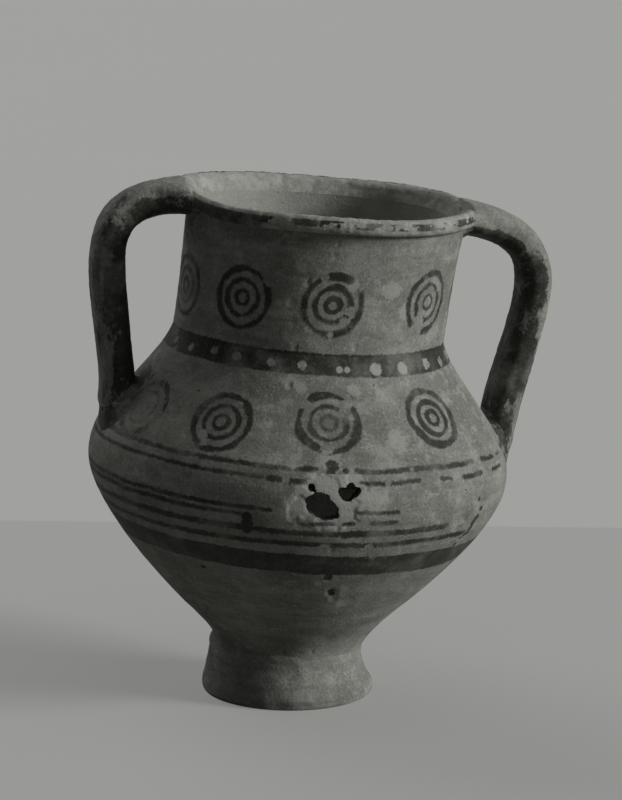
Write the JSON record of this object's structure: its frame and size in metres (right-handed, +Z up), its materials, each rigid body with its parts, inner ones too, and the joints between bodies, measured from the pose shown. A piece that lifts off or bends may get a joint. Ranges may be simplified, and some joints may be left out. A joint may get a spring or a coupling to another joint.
{
  "type": "two-handled jar",
  "caption": "Hand-made earthenware jar with a spreading foot, full belly, sloping shoulder, tall neck, rolled lip and a strap handle on either side, painted with rings and bands.",
  "frame": {"origin": "on the ground, in the middle of the jar's width over the handles; the foot stands off it because the jar leans", "axes": "+Z up, +X towards the right handle and the jar's lean, +Y to the back"},
  "size_m": [0.2276, 0.2014, 0.2547],
  "materials": {
    "fired_clay": "matt buff earthenware with dark painted rings and bands, worn",
    "painted_clay": "matt dark paint over earthenware, rubbed pale on the edges",
    "luting_clay": "matt smeared clay, partly painted"
  },
  "bodies": {
    "root": {"foot": "fired_clay", "foot_luting_coil": "luting_clay", "belly": "fired_clay", "belly_luting_coil": "luting_clay", "shoulder": "fired_clay", "neck": "fired_clay", "rim": "fired_clay", "left_handle": "painted_clay", "right_handle": "painted_clay", "left_handle_rim_luting": "luting_clay", "left_handle_shoulder_luting": "luting_clay", "right_handle_rim_luting": "luting_clay", "right_handle_shoulder_luting": "luting_clay"}
  },
  "joints": []
}
